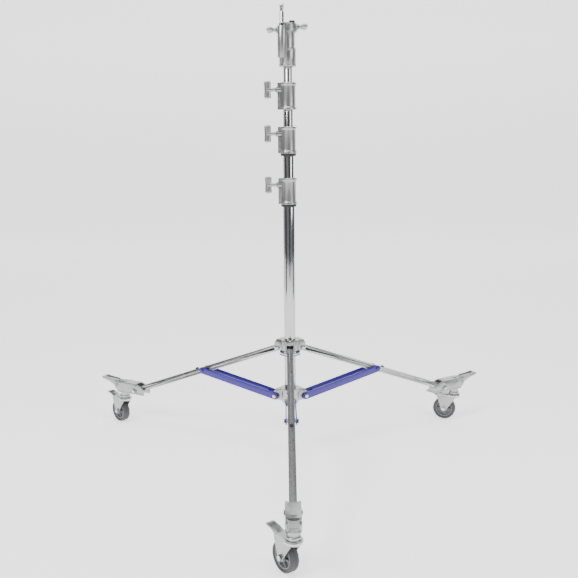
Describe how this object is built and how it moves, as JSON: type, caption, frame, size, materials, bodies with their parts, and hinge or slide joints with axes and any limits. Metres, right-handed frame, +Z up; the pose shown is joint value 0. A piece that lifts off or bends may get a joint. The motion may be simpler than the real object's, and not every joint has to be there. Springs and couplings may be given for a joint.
{
  "type": "lighting stand",
  "caption": "Telescopic lighting stand on a folding braced tripod with braked swivel casters; receiver bore and side stud at the top.",
  "frame": {"origin": "on the column axis at floor level", "axes": "+Z up along the column; the leg that faces the front is at -Y"},
  "size_m": [1.7208, 1.5129, 1.741],
  "materials": {
    "chrome": "polished",
    "cast": "satin",
    "leg": "satin",
    "bolt": "satin",
    "steel": "polished",
    "blue": "gloss",
    "black": "matte",
    "tyre": "matte",
    "wheel": "satin"
  },
  "bodies": {
    "stand": {"base_tube": "chrome", "tube_plug": "black", "lower_hub": "cast", "lower_pins": "bolt", "stop_ring": "steel", "blue_rings": "blue", "collar_3": "cast", "ring_3": "black"},
    "hub": {"upper_hub": "cast", "upper_pins": "bolt"},
    "hub_pin": {"release_pin": "bolt"},
    "riser_1": {"riser_1": "chrome", "bush_1": "black", "collar_2": "cast", "ring_2": "black"},
    "riser_2": {"riser_2": "chrome", "bush_2": "black", "collar_1": "cast"},
    "riser_3": {"riser_3": "chrome", "bush_3": "black", "head": "cast", "stud": "steel"},
    "knob_3": {"handle_3": "cast"},
    "knob_2": {"handle_2": "cast"},
    "knob_1": {"handle_1": "cast"},
    "head_knob_1": {"head_handle_1": "cast"},
    "head_knob_2": {"head_handle_2": "cast"},
    "leg_1": {"leg_1": "leg", "leg_bolt_1": "bolt"},
    "brace_1": {"brace_1": "blue"},
    "bracket_1": {"bracket_1": "cast", "bracket_pin_1": "bolt"},
    "lever_1": {"lever_1": "cast"},
    "fork_1": {"fork_1": "cast", "axle_1": "bolt"},
    "pedal_1": {"pedal_1": "cast"},
    "wheel_1": {"tyre_1": "tyre", "wheel_1": "wheel"},
    "leg_2": {"leg_2": "leg", "leg_bolt_2": "bolt"},
    "brace_2": {"brace_2": "blue"},
    "bracket_2": {"bracket_2": "cast", "bracket_pin_2": "bolt"},
    "lever_2": {"lever_2": "cast"},
    "fork_2": {"fork_2": "cast", "axle_2": "bolt"},
    "pedal_2": {"pedal_2": "cast"},
    "wheel_2": {"tyre_2": "tyre", "wheel_2": "wheel"},
    "leg_3": {"leg_3": "leg", "leg_bolt_3": "bolt"},
    "brace_3": {"brace_3": "blue"},
    "bracket_3": {"bracket_3": "cast", "bracket_pin_3": "bolt"},
    "lever_3": {"lever_3": "cast"},
    "fork_3": {"fork_3": "cast", "axle_3": "bolt"},
    "pedal_3": {"pedal_3": "cast"},
    "wheel_3": {"tyre_3": "tyre", "wheel_3": "wheel"}
  },
  "joints": [
    {"name": "hub_slide", "type": "slide", "parent": "stand", "child": "hub", "axis": [0, 0, 1], "range_m": [0, 0.25]},
    {"name": "hub_pin_slide", "type": "slide", "parent": "hub", "child": "hub_pin", "axis": [0, 0, 1], "range_m": [0, 0.008], "stiffness_N_per_m": 300, "springref_m": -0.004},
    {"name": "riser_1_slide", "type": "slide", "parent": "stand", "child": "riser_1", "axis": [0, 0, 1], "range_m": [0, 0.68]},
    {"name": "riser_2_slide", "type": "slide", "parent": "riser_1", "child": "riser_2", "axis": [0, 0, 1], "range_m": [0, 0.8]},
    {"name": "riser_3_slide", "type": "slide", "parent": "riser_2", "child": "riser_3", "axis": [0, 0, 1], "range_m": [0, 0.9]},
    {"name": "knob_3_turn", "type": "hinge", "parent": "stand", "child": "knob_3", "pos_m": [-0.06, 0, 1.099], "axis": [-1, 0, 0], "range_deg": [0, 180]},
    {"name": "knob_2_turn", "type": "hinge", "parent": "riser_1", "child": "knob_2", "pos_m": [-0.06, 0, 1.288], "axis": [-1, 0, 0], "range_deg": [0, 180]},
    {"name": "knob_1_turn", "type": "hinge", "parent": "riser_2", "child": "knob_1", "pos_m": [-0.06, 0, 1.447], "axis": [-1, 0, 0], "range_deg": [0, 180]},
    {"name": "head_knob_1_turn", "type": "hinge", "parent": "riser_3", "child": "head_knob_1", "pos_m": [-0.05, 0, 1.658], "axis": [-1, 0, 0], "range_deg": [0, 180]},
    {"name": "head_knob_2_turn", "type": "hinge", "parent": "riser_3", "child": "head_knob_2", "pos_m": [0.05, 0, 1.668], "axis": [1, 0, 0], "range_deg": [0, 180]},
    {"name": "leg_1_hinge", "type": "hinge", "parent": "hub", "child": "leg_1", "pos_m": [0, -0.05, 0.4613], "axis": [1, 0, 0], "range_deg": [-0.5, 17.82]},
    {"name": "brace_1_hinge", "type": "hinge", "parent": "stand", "child": "brace_1", "pos_m": [0, -0.062, 0.2596], "axis": [-1, 0, 0], "range_deg": [-0.5, 26.29]},
    {"name": "bracket_1_hinge", "type": "hinge", "parent": "leg_1", "child": "bracket_1", "pos_m": [0, -0.79, 0.167], "axis": [-1, 0, 0], "range_deg": [-0.5, 17.82]},
    {"name": "lever_1_hinge", "type": "hinge", "parent": "bracket_1", "child": "lever_1", "pos_m": [0, -0.893, 0.183], "axis": [-1, 0, 0], "range_deg": [0, 45]},
    {"name": "caster_1_swivel", "type": "hinge", "parent": "bracket_1", "child": "fork_1", "pos_m": [0, -0.864, 0.12], "axis": [0, 0, 1], "continuous": true},
    {"name": "wheel_1_roll", "type": "hinge", "parent": "fork_1", "child": "wheel_1", "pos_m": [-0.0241, -0.83083, 0.05], "axis": [-0.809, -0.5878, 0], "continuous": true},
    {"name": "pedal_1_hinge", "type": "hinge", "parent": "fork_1", "child": "pedal_1", "pos_m": [-0.03703, -0.81303, 0.109], "axis": [-0.809, -0.5878, 0], "range_deg": [0, 8]},
    {"name": "leg_2_hinge", "type": "hinge", "parent": "hub", "child": "leg_2", "pos_m": [0.0433, 0.025, 0.4613], "axis": [-0.5, 0.866, 0], "range_deg": [-0.5, 17.82]},
    {"name": "brace_2_hinge", "type": "hinge", "parent": "stand", "child": "brace_2", "pos_m": [0.05369, 0.031, 0.2596], "axis": [0.5, -0.866, 0], "range_deg": [-0.5, 26.29]},
    {"name": "bracket_2_hinge", "type": "hinge", "parent": "leg_2", "child": "bracket_2", "pos_m": [0.68416, 0.395, 0.167], "axis": [0.5, -0.866, 0], "range_deg": [-0.5, 17.82]},
    {"name": "lever_2_hinge", "type": "hinge", "parent": "bracket_2", "child": "lever_2", "pos_m": [0.77336, 0.4465, 0.183], "axis": [0.5, -0.866, 0], "range_deg": [0, 45]},
    {"name": "caster_2_swivel", "type": "hinge", "parent": "bracket_2", "child": "fork_2", "pos_m": [0.74825, 0.432, 0.12], "axis": [0, 0, 1], "continuous": true},
    {"name": "wheel_2_roll", "type": "hinge", "parent": "fork_2", "child": "wheel_2", "pos_m": [0.71051, 0.44802, 0.05], "axis": [-0.3907, -0.9205, 0], "continuous": true},
    {"name": "pedal_2_hinge", "type": "hinge", "parent": "fork_2", "child": "pedal_2", "pos_m": [0.69025, 0.45662, 0.109], "axis": [-0.3907, -0.9205, 0], "range_deg": [0, 8]},
    {"name": "leg_3_hinge", "type": "hinge", "parent": "hub", "child": "leg_3", "pos_m": [-0.0433, 0.025, 0.4613], "axis": [-0.5, -0.866, 0], "range_deg": [-0.5, 17.82]},
    {"name": "brace_3_hinge", "type": "hinge", "parent": "stand", "child": "brace_3", "pos_m": [-0.05369, 0.031, 0.2596], "axis": [0.5, 0.866, 0], "range_deg": [-0.5, 26.29]},
    {"name": "bracket_3_hinge", "type": "hinge", "parent": "leg_3", "child": "bracket_3", "pos_m": [-0.68416, 0.395, 0.167], "axis": [0.5, 0.866, 0], "range_deg": [-0.5, 17.82]},
    {"name": "lever_3_hinge", "type": "hinge", "parent": "bracket_3", "child": "lever_3", "pos_m": [-0.77336, 0.4465, 0.183], "axis": [0.5, 0.866, 0], "range_deg": [0, 45]},
    {"name": "caster_3_swivel", "type": "hinge", "parent": "bracket_3", "child": "fork_3", "pos_m": [-0.74825, 0.432, 0.12], "axis": [0, 0, 1], "continuous": true},
    {"name": "wheel_3_roll", "type": "hinge", "parent": "fork_3", "child": "wheel_3", "pos_m": [-0.77724, 0.46099, 0.05], "axis": [-0.7071, -0.7071, 0], "continuous": true},
    {"name": "pedal_3_hinge", "type": "hinge", "parent": "fork_3", "child": "pedal_3", "pos_m": [-0.79279, 0.47655, 0.109], "axis": [-0.7071, -0.7071, 0], "range_deg": [0, 8]}
  ],
  "couplings": [
    {"joint": "leg_1_hinge", "follows": "hub_slide", "rad_per_m": 1.2089},
    {"joint": "brace_1_hinge", "follows": "hub_slide", "rad_per_m": 1.8003},
    {"joint": "bracket_1_hinge", "follows": "hub_slide", "rad_per_m": 1.2089},
    {"joint": "leg_2_hinge", "follows": "hub_slide", "rad_per_m": 1.2089},
    {"joint": "brace_2_hinge", "follows": "hub_slide", "rad_per_m": 1.8003},
    {"joint": "bracket_2_hinge", "follows": "hub_slide", "rad_per_m": 1.2089},
    {"joint": "leg_3_hinge", "follows": "hub_slide", "rad_per_m": 1.2089},
    {"joint": "brace_3_hinge", "follows": "hub_slide", "rad_per_m": 1.8003},
    {"joint": "bracket_3_hinge", "follows": "hub_slide", "rad_per_m": 1.2089}
  ]
}
